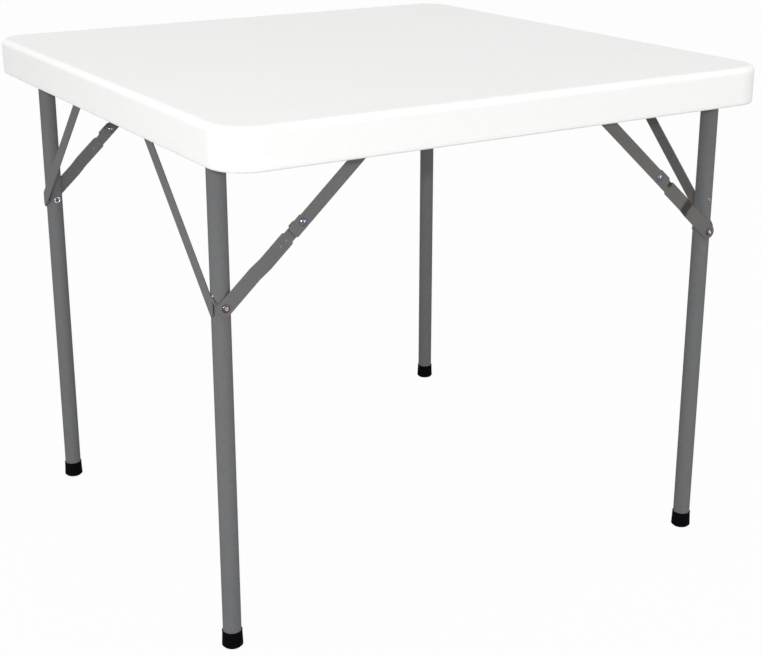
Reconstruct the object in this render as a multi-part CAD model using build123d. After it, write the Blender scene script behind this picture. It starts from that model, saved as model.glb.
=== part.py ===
from build123d import *
import os
from math import atan2, degrees, hypot

# Square folding card table. A hollow moulded top stands on two steel leg frames.
# Each frame turns about its cross tube and folds inwards under the top, and a
# two-piece folding brace holds each leg when the table stands.
# The origin is on the floor under the middle of the top, and +Z is up.
# +X runs from the left frame to the right one, and +Y from front to rear.

# Top
top_width = 860.0
top_depth = 860.0
table_height = 740.0
skirt_height = 54.0
panel_thickness = 22.5
rim_width = 22.0
top_wall = 3.0
plan_corner_radius = 50.0
top_edge_radius = 9.0
skirt_edge_radius = 2.5
recess_edge_radius = 2.0

# Round hollows under the panel, where its two walls are welded together
hollow_pitch = 75.0
hollow_mouth_radius = 19.0
hollow_floor_radius = 10.0
hollow_margin = 34.0
fixing_margin = 6.0

# Leg frames
tube_radius = 12.7
tube_wall = 1.2
left_frame_inset = 42.5
right_frame_inset = 55.0
left_leg_setback = 118.5
right_leg_setback = 57.5
cross_tube_overhang = 20.0
weld_land = 4.0

# Pivot clamps, which hold the cross tubes up against the panel
clamp_thickness = 2.5
clamp_width = 20.0
clamp_reach = 46.0
clamp_from_leg = 40.0
clamp_screw_setback = 9.0
clamp_screw_pitch = 16.0
turning_gap = 0.3

# Foot caps
foot_radius = 14.6
foot_collar_radius = 13.7
foot_height = 24.0
foot_sole = 4.0
foot_edge_radius = 2.2
foot_fit_gap = 0.05

# Side braces, flat bars welded across each frame's outer side
side_brace_width = 18.7
side_brace_thickness = 2.0
side_brace_weld = 0.4
side_brace_drop = 209.0
side_brace_run = 207.0
side_brace_end = 12.5
side_brace_overlap = 6.0

# Folding braces
brace_drop = 212.0
brace_reach = 235.5
link_thickness = 2.0
lower_link_width = 21.0
upper_link_width = 18.0
tongue_length = 27.0
layer_gap = 0.2
joggle_start = 57.0
joggle_length = 18.0
joggle_rise = 3.3
upper_link_tail = 20.0
stop_ear_start = -4.0
stop_tab_start = 8.0
stop_tab_end = 17.0
link_corner_radius = 3.0

# Brace brackets under the panel
bracket_width = 36.0
bracket_thickness = 2.0
bracket_eye_radius = 9.0
bracket_inner_reach = 28.0
bracket_screw_reach = 20.0
bracket_screw_pitch = 22.0

# Fasteners
rivet_radius = 3.0
rivet_head_radius = 5.5
rivet_head_height = 2.8
rivet_head_rim = 0.7
rivet_gap = 0.1
washer_radius = 8.0
washer_thickness = 1.0
screw_radius = 2.0
screw_length = 14.0
screw_head_radius = 4.2
screw_head_height = 2.4
screw_head_rim = 0.8
screw_recess_width = 1.0
screw_recess_depth = 1.2
screw_gap = 0.05
screw_boss_radius = 6.0
screw_tip_clearance = 1.0

# Plugs in the ends of the cross tubes
plug_flange = 1.5
plug_depth = 10.0
plug_fit_gap = 0.05
plug_edge_radius = 0.6

# Each cut runs this far past the face that it starts from
overrun = 5.0

# Heights and distances that follow from the sizes above
panel_underside = table_height - panel_thickness
clamp_bore = tube_radius + turning_gap
clamp_radius = clamp_bore + clamp_thickness
pivot_height = panel_underside - clamp_radius
tube_bore = tube_radius - tube_wall
leg_rivet_height = pivot_height - brace_drop

# When the table is folded both links lie in line between the cross tube and the
# bracket, and when it stands they are in line again. Both hold for these lengths.
brace_length = hypot(brace_drop, brace_reach)
link_difference = brace_reach - brace_drop
lower_link_length = (brace_length - link_difference) / 2
upper_link_length = (brace_length + link_difference) / 2
brace_angle = degrees(atan2(brace_drop, brace_reach))

# The lower link ends in a tongue, so narrow that the stop tab lies flush with the rest of it
tongue_width = lower_link_width - 2 * (link_thickness + layer_gap)

# Layers of the folding brace, measured outwards from the leg's axis
lower_layer = tube_radius + washer_thickness
joggled_layer = lower_layer + joggle_rise
upper_layer = joggled_layer + link_thickness + layer_gap
cheek_layer = upper_layer - layer_gap - bracket_thickness

# Side of each frame (-1 is left), its distance from the middle along X, and its
# legs' distance from the middle along Y
SIDES = {
    "left": (-1, top_width / 2 - left_frame_inset, top_depth / 2 - left_leg_setback),
    "right": (1, top_width / 2 - right_frame_inset, top_depth / 2 - right_leg_setback),
}
ENDS = {"front": -1, "rear": 1}


def at_corner(shape, side, end):
    """Put a shape that was made for the left rear leg at the named corner.

    The shape's own +X points from the leg towards the middle of the table, its
    +Y outwards along the cross tube, and its Z is the height above the floor.
    """
    sign, frame_x, leg_y = SIDES[side]
    placed = shape if sign < 0 else mirror(shape, Plane.YZ)
    placed = placed if ENDS[end] > 0 else mirror(placed, Plane.XZ)
    return Pos(sign * frame_x, ENDS[end] * leg_y, 0) * placed


def along_y(shape):
    """Turn a shape that was made along +Z so that it runs along +Y."""
    return Rot(X=-90) * shape


def rod(radius, length):
    """A round bar from the origin along +Z."""
    return Cylinder(radius, length, align=(Align.CENTER, Align.CENTER, Align.MIN))


def domed_head(radius, height, rim):
    """A fastener's head on the plane Z = 0, with a short rim and a domed top."""
    with BuildPart() as head:
        with BuildSketch(Plane.XZ):
            with BuildLine():
                Polyline((0, 0), (radius, 0), (radius, rim))
                RadiusArc((radius, rim), (0, height), -dome_radius(radius, height - rim))
                Line((0, height), (0, 0))
            make_face()
        revolve(axis=Axis.Z)
    return head.part


def dome_radius(radius, rise):
    """The radius of a ball that rises by this much over a circle of this radius."""
    return (radius**2 + rise**2) / (2 * rise)


def rivet(length):
    """A rivet that clamps a stack from Z = 0 to Z = length between two heads."""
    head = domed_head(rivet_head_radius, rivet_head_height, rivet_head_rim)
    tail = mirror(head, Plane.XY)
    return rod(rivet_radius, length) + Pos(0, 0, length) * head + tail


def cross_recess(width, length, depth):
    """The cross-shaped driving recess of a screw, cut down from Z = 0."""
    bar = Box(length, width, depth, align=(Align.CENTER, Align.CENTER, Align.MAX))
    return bar + Rot(Z=90) * bar


def screw():
    """A pan-head screw whose shank points up from the flange at Z = 0."""
    head = mirror(domed_head(screw_head_radius, screw_head_height, screw_head_rim), Plane.XY)
    shank = rod(screw_radius, screw_length)
    slot = cross_recess(screw_recess_width, screw_head_radius, screw_recess_depth)
    return head + shank - Pos(0, 0, screw_recess_depth - screw_head_height) * slot


def clamp_screw_places():
    """Places of a pivot clamp's screws, from the leg at a corner."""
    last = clamp_reach - clamp_screw_setback
    return [(last - clamp_screw_pitch, -clamp_from_leg), (last, -clamp_from_leg)]


def bracket_screw_places():
    """Places of a brace bracket's screws, from the leg at a corner."""
    half = bracket_screw_pitch / 2
    return [(brace_reach + shift, -bracket_screw_reach) for shift in (-half, half)]


def corners():
    """Every corner of the table, as side and end."""
    return [(side, end) for side in SIDES for end in ENDS]


def fixing_points():
    """Places of all screws in the panel, from the middle of the table."""
    points = []
    for side, end in corners():
        sign, frame_x, leg_y = SIDES[side]
        for x, y in clamp_screw_places() + bracket_screw_places():
            points.append((sign * (frame_x - x), ENDS[end] * (leg_y + y)))
    return points


def hollow_points():
    """A square grid of places for the panel's round hollows, clear of all screws."""
    half_width = top_width / 2 - rim_width - hollow_margin
    half_depth = top_depth / 2 - rim_width - hollow_margin
    columns = int(2 * half_width / hollow_pitch) + 1
    rows = int(2 * half_depth / hollow_pitch) + 1
    clear = hollow_mouth_radius + screw_boss_radius + fixing_margin
    points = []
    for location in GridLocations(hollow_pitch, hollow_pitch, columns, rows):
        x, y = location.position.X, location.position.Y
        if all(hypot(x - a, y - b) > clear for a, b in fixing_points()):
            points.append((x, y))
    return points


def rounded_block(inset, low, high):
    """A block with the top's plan, drawn in by an inset, between two heights."""
    plan = RectangleRounded(top_width - 2 * inset, top_depth - 2 * inset, plan_corner_radius - inset)
    return Pos(0, 0, low) * extrude(plan, high - low)


def tapered_hollow(extra, high):
    """One round hollow of the panel, from its mouth up to a height."""
    cone = Cone(
        hollow_mouth_radius + extra,
        hollow_floor_radius + extra,
        high - panel_underside,
        align=(Align.CENTER, Align.CENTER, Align.MIN),
    )
    return Pos(0, 0, panel_underside) * cone


def table_top():
    """The hollow moulded top: a panel of two walls inside a deeper hollow rim."""
    skirt_bottom = table_height - skirt_height
    shell = rounded_block(0, skirt_bottom, table_height)
    shell = fillet(shell.faces().sort_by(Axis.Z)[-1].edges(), top_edge_radius)
    shell = fillet(shell.faces().sort_by(Axis.Z)[0].edges(), skirt_edge_radius)
    recess = rounded_block(rim_width, skirt_bottom, panel_underside)
    shell -= recess
    shell = fillet(shell.faces().sort_by(Axis.Z)[0].inner_wires()[0].edges(), recess_edge_radius)

    air = rounded_block(top_wall, skirt_bottom + top_wall, table_height - top_wall)
    air = fillet(air.faces().sort_by(Axis.Z)[-1].edges(), top_edge_radius - top_wall)
    air -= rounded_block(rim_width - top_wall, skirt_bottom, panel_underside + top_wall)
    boss = rod(screw_boss_radius, panel_thickness)
    bosses = [Pos(x, y, panel_underside) * boss for x, y in fixing_points()]
    welded_walls = tapered_hollow(top_wall, table_height)
    air -= bosses + [Pos(x, y, 0) * welded_walls for x, y in hollow_points()]

    holes = [
        Pos(x, y, panel_underside - overrun)
        * rod(screw_radius + screw_gap, screw_length + screw_tip_clearance - clamp_thickness + overrun)
        for x, y in fixing_points()
    ]
    mouth = tapered_hollow(0, table_height - 2 * top_wall)
    return shell - air - (holes + [Pos(x, y, 0) * mouth for x, y in hollow_points()])


def pivot_clamp():
    """A steel band round the cross tube, with a flange screwed to the panel."""
    ring = along_y(Pos(0, 0, -clamp_width / 2) * rod(clamp_radius, clamp_width))
    flange = Box(
        clamp_reach, clamp_width, clamp_thickness, align=(Align.MIN, Align.CENTER, Align.MAX)
    )
    flange = fillet(flange.edges().filter_by(Axis.Z).sort_by(Axis.X)[-2:], link_corner_radius)
    clamp = Pos(0, 0, pivot_height) * (ring + Pos(0, 0, clamp_radius) * flange)
    bore = along_y(Pos(0, 0, -clamp_width) * rod(clamp_bore, 2 * clamp_width))
    clamp -= Pos(0, 0, pivot_height) * bore
    clamp = Pos(0, -clamp_from_leg, 0) * clamp
    drill = rod(screw_radius + screw_gap, clamp_thickness + 2 * overrun)
    low = panel_underside - clamp_thickness - overrun
    drills = [Pos(x, y, low) * drill for x, y in clamp_screw_places()]
    return clamp - drills


def brace_bracket():
    """The bracket that holds the upper link: a flange and a hanging cheek."""
    flange_width = cheek_layer + bracket_thickness + bracket_inner_reach
    flange = Box(
        bracket_width, flange_width, bracket_thickness, align=(Align.CENTER, Align.MAX, Align.MAX)
    )
    flange = fillet(flange.edges().filter_by(Axis.Z).sort_by(Axis.Y)[:2], link_corner_radius)
    flange = Pos(brace_reach, cheek_layer + bracket_thickness, panel_underside) * flange

    half = bracket_width / 2
    eye = bracket_eye_radius
    top = panel_underside - pivot_height
    shoulder = top - bracket_thickness
    with BuildPart() as cheek:
        with BuildSketch(Plane.XZ):
            with BuildLine():
                Polyline((-eye, 0), (-half, shoulder), (-half, top), (half, top), (half, shoulder), (eye, 0))
                RadiusArc((eye, 0), (-eye, 0), eye)
            make_face()
        extrude(amount=-bracket_thickness)
    plate = Pos(brace_reach, cheek_layer, pivot_height) * cheek.part

    hole = along_y(rod(rivet_radius, bracket_thickness + 2 * overrun))
    drill = rod(screw_radius + screw_gap, bracket_thickness + 2 * overrun)
    low = panel_underside - bracket_thickness - overrun
    drills = [Pos(x, y, low) * drill for x, y in bracket_screw_places()]
    return flange + plate - [Pos(brace_reach, cheek_layer - overrun, pivot_height) * hole] - drills


def leg():
    """A leg tube, coped at the top to fit under the cross tube."""
    length = pivot_height - weld_land - foot_sole
    tube = Pos(0, 0, foot_sole) * (rod(tube_radius, length) - rod(tube_bore, length))
    cross = Pos(0, -2 * tube_radius, pivot_height) * along_y(rod(tube_radius, 4 * tube_radius))
    hole = Pos(0, -2 * tube_radius, leg_rivet_height) * along_y(rod(rivet_radius, 4 * tube_radius))
    return tube - cross - hole


def foot_cap():
    """A moulded cap on the end of a leg, a little wider at the floor."""
    with BuildPart() as cap:
        with BuildSketch(Plane.XZ):
            with BuildLine():
                Polyline(
                    (0, 0),
                    (foot_radius - foot_edge_radius, 0),
                    (foot_radius, foot_edge_radius),
                    (foot_collar_radius, foot_height),
                    (tube_radius + foot_fit_gap, foot_height),
                    (tube_radius + foot_fit_gap, foot_sole),
                    (0, foot_sole),
                    close=True,
                )
            make_face()
        revolve(axis=Axis.Z)
    return cap.part


def cross_tube(leg_y):
    """The tube that joins two legs at the top and turns in the clamps."""
    length = 2 * (leg_y + cross_tube_overhang)
    tube = rod(tube_radius, length) - rod(tube_bore, length)
    return Pos(0, -length / 2, pivot_height) * along_y(tube)


def cross_tube_plug():
    """A plastic plug in the outer end of a cross tube."""
    spigot = rod(tube_bore - plug_fit_gap, plug_depth)
    flange = rod(tube_radius, plug_flange)
    flange = fillet(flange.edges().sort_by(Axis.Z)[-1:], plug_edge_radius)
    plug = Pos(0, 0, -plug_depth) * spigot + flange
    return Pos(0, cross_tube_overhang, pivot_height) * along_y(plug)


def side_brace():
    """A flat bar from the leg up to the cross tube, trimmed where it is welded."""
    slope = degrees(atan2(side_brace_drop, side_brace_run))
    reach = hypot(side_brace_drop, side_brace_run)
    bar = Box(
        side_brace_thickness,
        reach + side_brace_end + side_brace_width,
        side_brace_width,
        align=(Align.MAX, Align.MAX, Align.CENTER),
    )
    bar = Rot(X=-slope) * (Pos(0, side_brace_end, 0) * bar)
    face = -tube_radius - side_brace_weld
    bar = Pos(face, 0, pivot_height - side_brace_drop) * bar
    keep = Box(
        2 * side_brace_thickness,
        2 * (side_brace_run + side_brace_width) + side_brace_overlap,
        2 * side_brace_drop,
        align=(Align.CENTER, Align.MAX, Align.MAX),
    )
    keep = Pos(face, side_brace_overlap, pivot_height + side_brace_overlap) * keep
    return bar & keep


def eye_hole(place, radius):
    """A drill for a link's eye at a place along the link, through all of its layers."""
    return Pos(place, 0, 0) * along_y(rod(radius, upper_layer + link_thickness + overrun))


def lower_link():
    """The lower half of a folding brace, joggled over the leg rivet's head, with a tongue."""
    outline = [
        (-lower_link_width, lower_layer),
        (joggle_start, lower_layer),
        (joggle_start + joggle_length, joggled_layer),
        (lower_link_length + lower_link_width, joggled_layer),
    ]
    outer = [(along, layer + link_thickness) for along, layer in reversed(outline)]
    profile = extrude(make_face(Polyline(*outline, *outer, close=True)), lower_link_width / 2, both=True)
    wide_length = lower_link_length - tongue_length
    wide = Pos(wide_length / 2, 0) * Rectangle(wide_length, lower_link_width)
    wide = fillet(wide.vertices().group_by(Axis.X)[-1], link_corner_radius)
    tongue = Pos(lower_link_length / 2, 0) * SlotCenterToCenter(lower_link_length, tongue_width)
    plan = extrude(Circle(lower_link_width / 2) + wide + tongue, joggled_layer + link_thickness)
    bar = profile & along_y(plan)
    bar -= [eye_hole(0, rivet_radius + rivet_gap), eye_hole(lower_link_length, rivet_radius)]
    return Pos(0, 0, leg_rivet_height) * (Rot(Y=-brace_angle) * bar)


def upper_link():
    """The upper half of a folding brace, with an ear whose end is bent over the tongue as a stop."""
    plan = extrude(Circle(upper_link_width / 2), link_thickness)
    length = upper_link_length + upper_link_tail
    strip = Pos(length / 2, 0) * extrude(Rectangle(length, upper_link_width), link_thickness)
    strip = fillet(strip.edges().filter_by(Axis.Z).sort_by(Axis.X)[-2:], link_corner_radius)
    bar = Pos(0, upper_layer, 0) * along_y(plan + strip)

    edge = tongue_width / 2 + layer_gap
    ear_length = stop_tab_end - stop_ear_start
    ear_width = edge + link_thickness - upper_link_width / 2
    ear = Box(ear_length, link_thickness, ear_width, align=(Align.MIN, Align.MIN, Align.MIN))
    fold = Box(
        stop_tab_end - stop_tab_start,
        upper_layer + link_thickness - joggled_layer,
        link_thickness,
        align=(Align.MAX, Align.MIN, Align.MIN),
    )
    ear = Pos(upper_link_length + stop_ear_start, upper_layer, upper_link_width / 2) * ear
    fold = Pos(upper_link_length + stop_tab_end, joggled_layer, edge) * fold
    bar = bar + ear + fold
    bar -= [eye_hole(0, rivet_radius + rivet_gap), eye_hole(upper_link_length, rivet_radius)]
    bar = Rot(Y=-brace_angle) * mirror(bar, Plane.YZ)
    return Pos(brace_reach, 0, pivot_height) * bar


def mid_rivet_head():
    """The outer half of the rivet between two links, which stays in the upper one."""
    head = domed_head(rivet_head_radius, rivet_head_height, rivet_head_rim)
    half = rod(rivet_radius, link_thickness) + Pos(0, 0, link_thickness) * head
    return at_mid_pivot(along_y(half), upper_layer)


def mid_rivet_tail():
    """The inner half of that rivet, which stays in the lower link."""
    head = mirror(domed_head(rivet_head_radius, rivet_head_height, rivet_head_rim), Plane.XY)
    return at_mid_pivot(along_y(rod(rivet_radius, link_thickness) + head), joggled_layer)


def at_mid_pivot(shape, layer):
    """Put a shape on the axis where the two links meet, at one of their layers."""
    share = lower_link_length / brace_length
    return Pos(share * brace_reach, layer, leg_rivet_height + share * brace_drop) * shape


def leg_rivet():
    """The rivet through the leg, its washer and the lower link."""
    stack = tube_radius + lower_layer + link_thickness
    return Pos(0, -tube_radius, leg_rivet_height) * along_y(rivet(stack))


def leg_washer():
    """The washer that keeps the lower link off the round of the leg."""
    ring = rod(washer_radius, washer_thickness) - rod(rivet_radius, washer_thickness)
    return Pos(0, tube_radius, leg_rivet_height) * along_y(ring)


def bracket_rivet():
    """The rivet on which the upper link turns in its bracket."""
    stack = upper_layer + link_thickness - cheek_layer
    return Pos(brace_reach, cheek_layer, pivot_height) * along_y(rivet(stack))


def screws(places, thickness):
    """A set of screws up through a flange of this thickness, at one corner."""
    return [Pos(x, y, panel_underside - thickness) * screw() for x, y in places]


def at_all_corners(shape, names):
    """One copy of a shape at each of the named corners, as a list."""
    return [at_corner(shape, side, end) for side, end in names]


def save(name, shapes):
    """Write one named piece, or a group of like pieces."""
    solids = [solid for shape in shapes for solid in shape.solids()]
    piece = solids[0] if len(solids) == 1 else Compound(children=solids)
    export_step(piece, f"parts/{name}.step")


def save_table_side():
    """Write the top and everything that is fixed to it."""
    save("table_top", [table_top()])
    clamp, bracket = pivot_clamp(), brace_bracket()
    for side, end in corners():
        save(f"pivot_clamp_{side}_{end}", [at_corner(clamp, side, end)])
        save(f"brace_bracket_{side}_{end}", [at_corner(bracket, side, end)])
    clamp_screws = screws(clamp_screw_places(), clamp_thickness)
    bracket_screws = screws(bracket_screw_places(), bracket_thickness)
    save("clamp_screws", [at_corner(s, *corner) for s in clamp_screws for corner in corners()])
    save("bracket_screws", [at_corner(s, *corner) for s in bracket_screws for corner in corners()])
    save("bracket_rivets", at_all_corners(bracket_rivet(), corners()))


def save_leg_frame(side):
    """Write one leg frame: its tubes, side braces, feet, plugs and rivets."""
    sign, frame_x, leg_y = SIDES[side]
    own_corners = [(side, end) for end in ENDS]
    save(f"cross_tube_{side}", [Pos(sign * frame_x, 0, 0) * cross_tube(leg_y)])
    for corner in own_corners:
        name = "_".join(corner)
        save(f"leg_{name}", [at_corner(leg(), *corner)])
        save(f"foot_cap_{name}", [at_corner(foot_cap(), *corner)])
        save(f"side_brace_{name}", [at_corner(side_brace(), *corner)])
    save(f"cross_tube_plugs_{side}", at_all_corners(cross_tube_plug(), own_corners))
    save(f"leg_rivets_{side}", at_all_corners(leg_rivet(), own_corners))
    save(f"leg_washers_{side}", at_all_corners(leg_washer(), own_corners))


def save_folding_brace(side, end):
    """Write the two links of one folding brace and the halves of their rivet."""
    name = f"{side}_{end}"
    save(f"upper_link_{name}", [at_corner(upper_link(), side, end)])
    save(f"mid_rivet_head_{name}", [at_corner(mid_rivet_head(), side, end)])
    save(f"lower_link_{name}", [at_corner(lower_link(), side, end)])
    save(f"mid_rivet_tail_{name}", [at_corner(mid_rivet_tail(), side, end)])


os.makedirs("parts", exist_ok=True)
save_table_side()
for frame_side in SIDES:
    save_leg_frame(frame_side)
for corner_side, corner_end in corners():
    save_folding_brace(corner_side, corner_end)

print(f"lower link {lower_link_length:.2f} mm, upper link {upper_link_length:.2f} mm")
print(f"pivot height {pivot_height:.2f} mm, brace angle {brace_angle:.3f} degrees")
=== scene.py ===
"""The looks of a square folding card table: a pale moulded top on grey folding leg frames."""

from math import cos, hypot, pi, radians, sin

import bpy
from bpy.props import FloatProperty, FloatVectorProperty, IntProperty, PointerProperty
from mathutils import Matrix, Vector


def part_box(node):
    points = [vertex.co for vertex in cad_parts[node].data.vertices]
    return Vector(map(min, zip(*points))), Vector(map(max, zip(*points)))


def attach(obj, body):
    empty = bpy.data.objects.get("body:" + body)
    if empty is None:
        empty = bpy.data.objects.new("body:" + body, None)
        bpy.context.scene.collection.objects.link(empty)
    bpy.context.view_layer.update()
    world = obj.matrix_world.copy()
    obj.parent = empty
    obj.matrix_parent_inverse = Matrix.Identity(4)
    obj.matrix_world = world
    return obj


bl_info = {
    "name": "Folding card table",
    "version": (1, 0, 0),
    "blender": (4, 5, 0),
    "location": "View3D > Sidebar > Card table",
    "description": "Finishes, welds and mouldings of a folding card table, and its studio",
    "category": "Object",
}

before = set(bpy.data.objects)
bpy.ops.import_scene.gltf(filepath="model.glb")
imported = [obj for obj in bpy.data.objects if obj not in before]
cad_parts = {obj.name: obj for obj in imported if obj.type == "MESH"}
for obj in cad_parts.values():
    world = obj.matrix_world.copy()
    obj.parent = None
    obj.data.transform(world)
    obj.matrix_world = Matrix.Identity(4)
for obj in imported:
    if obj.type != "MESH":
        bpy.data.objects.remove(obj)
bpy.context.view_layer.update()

SIDES = ("left", "right")
ENDS = ("front", "rear")
CORNERS = [(side, end) for side in SIDES for end in ENDS]
OUTWARDS = {"left": -1, "right": 1, "front": -1, "rear": 1}

# Sizes in the finishes, in metres
RIM_GRIME_HEIGHT = 0.0075
CAP_DUST_HEIGHT = 0.006
# Reach of the painted shade in the powder coat's crevices
CREVICE_REACH = 0.005
WORN_EDGE_WIDTH = 0.0006

# A tint that leaves a colour as it is
UNTINTED = (1.0, 1.0, 1.0)

# The rays for which the dome of light looks pure white
WHITE_RAYS = ("Is Camera Ray", "Is Glossy Ray", "Is Transmission Ray")


def corner_names(prefix):
    """The node names of one kind of piece, one for each corner of the table."""
    return [f"{prefix}_{side}_{end}" for side, end in CORNERS]


def side_names(prefix):
    """The node names of one kind of piece, one for each leg frame."""
    return [f"{prefix}_{side}" for side in SIDES]


def middle(node):
    """The middle of a CAD node's box."""
    low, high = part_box(node)
    return (low + high) / 2


def extent(node):
    """The size of a CAD node's box."""
    low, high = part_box(node)
    return high - low


def leg_tube(side, end):
    """The middle of a leg's box, and the radius of its tube."""
    return middle(f"leg_{side}_{end}"), extent(f"leg_{side}_{end}").x / 2


def link_line(side):
    """Where a frame's leg rivets stand, and the way from them along the lower links."""
    start = middle(f"leg_rivets_{side}")
    end = middle(f"mid_rivet_head_{side}_front")
    return start, Vector((end.x - start.x, 0, end.z - start.z)).normalized()


class CardTableFinishes(bpy.types.PropertyGroup):
    """Colours of the table's finishes."""

    top_colour: FloatVectorProperty(
        name="Top", description="Moulded plastic of the top",
        subtype="COLOR", size=3, min=0, max=1, default=(0.86, 0.86, 0.855),
    )
    tube_colour: FloatVectorProperty(
        name="Tubes", description="Powder coat on the leg and cross tubes",
        subtype="COLOR", size=3, min=0, max=1, default=(0.143, 0.145, 0.148),
    )
    left_bar_colour: FloatVectorProperty(
        name="Left braces", description="Powder coat on the flat bars of the left frame",
        subtype="COLOR", size=3, min=0, max=1, default=(0.15, 0.15, 0.151),
    )
    right_bar_colour: FloatVectorProperty(
        name="Right braces", description="Powder coat on the flat bars of the right frame",
        subtype="COLOR", size=3, min=0, max=1, default=(0.134, 0.129, 0.125),
    )
    bracket_colour: FloatVectorProperty(
        name="Brackets", description="Powder coat on the clamps and brackets",
        subtype="COLOR", size=3, min=0, max=1, default=(0.15, 0.15, 0.153),
    )
    # This zinc is darker than fresh plating: a painted reflection of dark surroundings on the domed heads
    zinc_colour: FloatVectorProperty(
        name="Zinc", description="Plating on the mid rivets, washers and screws",
        subtype="COLOR", size=3, min=0, max=1, default=(0.21, 0.22, 0.28),
    )
    bright_colour: FloatVectorProperty(
        name="Bright zinc", description="Fresh plating on the rolled rivet ends, and bare weld",
        subtype="COLOR", size=3, min=0, max=1, default=(0.68, 0.69, 0.74),
    )
    # Painted reflection: these rivet heads are darkened to stand in for the dark surroundings that shiny
    # zinc mirrors
    dark_reflection_colour: FloatVectorProperty(
        name="Darkened zinc", description="Darker plating on the leg and bracket rivets",
        subtype="COLOR", size=3, min=0, max=1, default=(0.14, 0.11, 0.11),
    )
    eyelet_colour: FloatVectorProperty(
        name="Eyelet", description="Dull plating on the drain eyelet",
        subtype="COLOR", size=3, min=0, max=1, default=(0.34, 0.28, 0.28),
    )
    cap_colour: FloatVectorProperty(
        name="Foot caps", description="Rubber of the foot caps",
        subtype="COLOR", size=3, min=0, max=1, default=(0.002, 0.002, 0.0028),
    )
    plug_colour: FloatVectorProperty(
        name="Plugs", description="Plastic of the plugs in the cross tubes",
        subtype="COLOR", size=3, min=0, max=1, default=(0.02, 0.02, 0.021),
    )


class CardTableDetails(bpy.types.PropertyGroup):
    """Sizes of the small pieces and marks that dress the frame; the marks are painted shade and painted
    highlights.
    """

    bead_radius: FloatProperty(
        name="Weld bead", description="Radius of a weld bead", unit="LENGTH", default=0.0013,
    )
    ripple_pitch: FloatProperty(
        name="Weld ripple", description="Length of one ripple of a weld bead",
        unit="LENGTH", default=0.0022,
    )
    ripple_share: FloatProperty(
        name="Ripple depth", description="Depth of a ripple as a share of the bead's radius",
        subtype="FACTOR", min=0, max=1, default=0.08,
    )
    bead_facets: IntProperty(
        name="Bead facets", description="How finely a bead is rounded", min=1, default=3,
    )
    head_land: FloatProperty(
        name="Leg head land", description="How far a leg stops below the cross tube's axis",
        unit="LENGTH", default=0.004,
    )
    brace_run: FloatProperty(
        name="Side brace run", description="Reach of a side brace along the cross tube",
        unit="LENGTH", default=0.207,
    )
    brace_drop: FloatProperty(
        name="Side brace drop", description="Drop of a side brace from the cross tube to the leg",
        unit="LENGTH", default=0.209,
    )
    brace_width: FloatProperty(
        name="Side brace width", description="Width of a side brace", unit="LENGTH", default=0.0187,
    )
    mould_line: FloatProperty(
        name="Mould line", description="Radius of the fine line left where the mould closed",
        unit="LENGTH", default=0.00025,
    )
    cap_bead: FloatProperty(
        name="Cap bead", description="Radius of the raised bead round the mouth of a foot cap",
        unit="LENGTH", default=0.0007,
    )
    drain_radius: FloatProperty(
        name="Drain eyelet", description="Radius of the drain eyelet in the right front leg",
        unit="LENGTH", default=0.0019,
    )
    drain_bead: FloatProperty(
        name="Drain bead",
        description="Half the thickness of that eyelet, so low that the folded link clears it",
        unit="LENGTH", default=0.0008,
    )
    drain_height: FloatProperty(
        name="Drain height", description="Height of the drain eyelet above the floor",
        unit="LENGTH", default=0.539,
    )
    ring_radius: FloatProperty(
        name="Rolled end", description="Radius of the rolled ring on a leg rivet's inner end",
        unit="LENGTH", default=0.0042,
    )
    ring_bead: FloatProperty(
        name="Rolled bead", description="Half the thickness of that ring",
        unit="LENGTH", default=0.0011,
    )
    crown_radius: FloatProperty(
        name="Rivet crown", description="Radius of the bright ring on a leg rivet's outer head",
        unit="LENGTH", default=0.0018,
    )
    crown_bead: FloatProperty(
        name="Crown bead", description="Half the thickness of that ring",
        unit="LENGTH", default=0.0006,
    )
    nugget_height: FloatProperty(
        name="Weld nugget height", description="Height of a bare weld nugget above the leg rivet",
        unit="LENGTH", default=0.0142,
    )
    nugget_rise: FloatProperty(
        name="Weld nugget rise", description="How much higher its outer end lies",
        unit="LENGTH", default=0.0018,
    )
    # The painted shade across the right lower links' joggle, and the painted shadow by their stop tab
    shading_start: FloatProperty(
        name="Shading start",
        description="Where the burnt band of a right lower link starts, from its leg rivet",
        unit="LENGTH", default=0.058,
    )
    shading_length: FloatProperty(
        name="Shading length", description="Length of that band", unit="LENGTH", default=0.018,
    )
    shading_fade: FloatProperty(
        name="Shading fade", description="Half the length of each soft edge of that band",
        unit="LENGTH", default=0.004,
    )
    shading_waver: FloatProperty(
        name="Shading waver", description="How far that band's edges wander along the link",
        unit="LENGTH", default=0.005,
    )
    shading_tab_run: FloatProperty(
        name="Tab scorch", description="Where the burnt spot by the stop tab lies, from the leg rivet",
        unit="LENGTH", default=0.1222,
    )
    shading_tab_rise: FloatProperty(
        name="Tab scorch rise", description="Height of that spot above the link's middle line",
        unit="LENGTH", default=0.0055,
    )
    shading_tab_radius: FloatProperty(
        name="Tab scorch radius", description="Radius of that spot, to the middle of its soft edge",
        unit="LENGTH", default=0.0055,
    )
    # Two painted highlights on each left lower link
    highlight_run: FloatProperty(
        name="Highlight spot",
        description="Where the first rubbed spot of a left lower link lies, from the leg rivet",
        unit="LENGTH", default=0.1047,
    )
    highlight_step: FloatProperty(
        name="Highlight step", description="Distance from that spot to the second one",
        unit="LENGTH", default=0.01,
    )
    highlight_radius: FloatProperty(
        name="Highlight radius", description="Radius of those two spots, to the middle of their soft edge",
        unit="LENGTH", default=0.0014,
    )
    curve_steps: IntProperty(
        name="Curve steps", description="Points round a full circle of a bead", min=16, default=96,
    )


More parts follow.
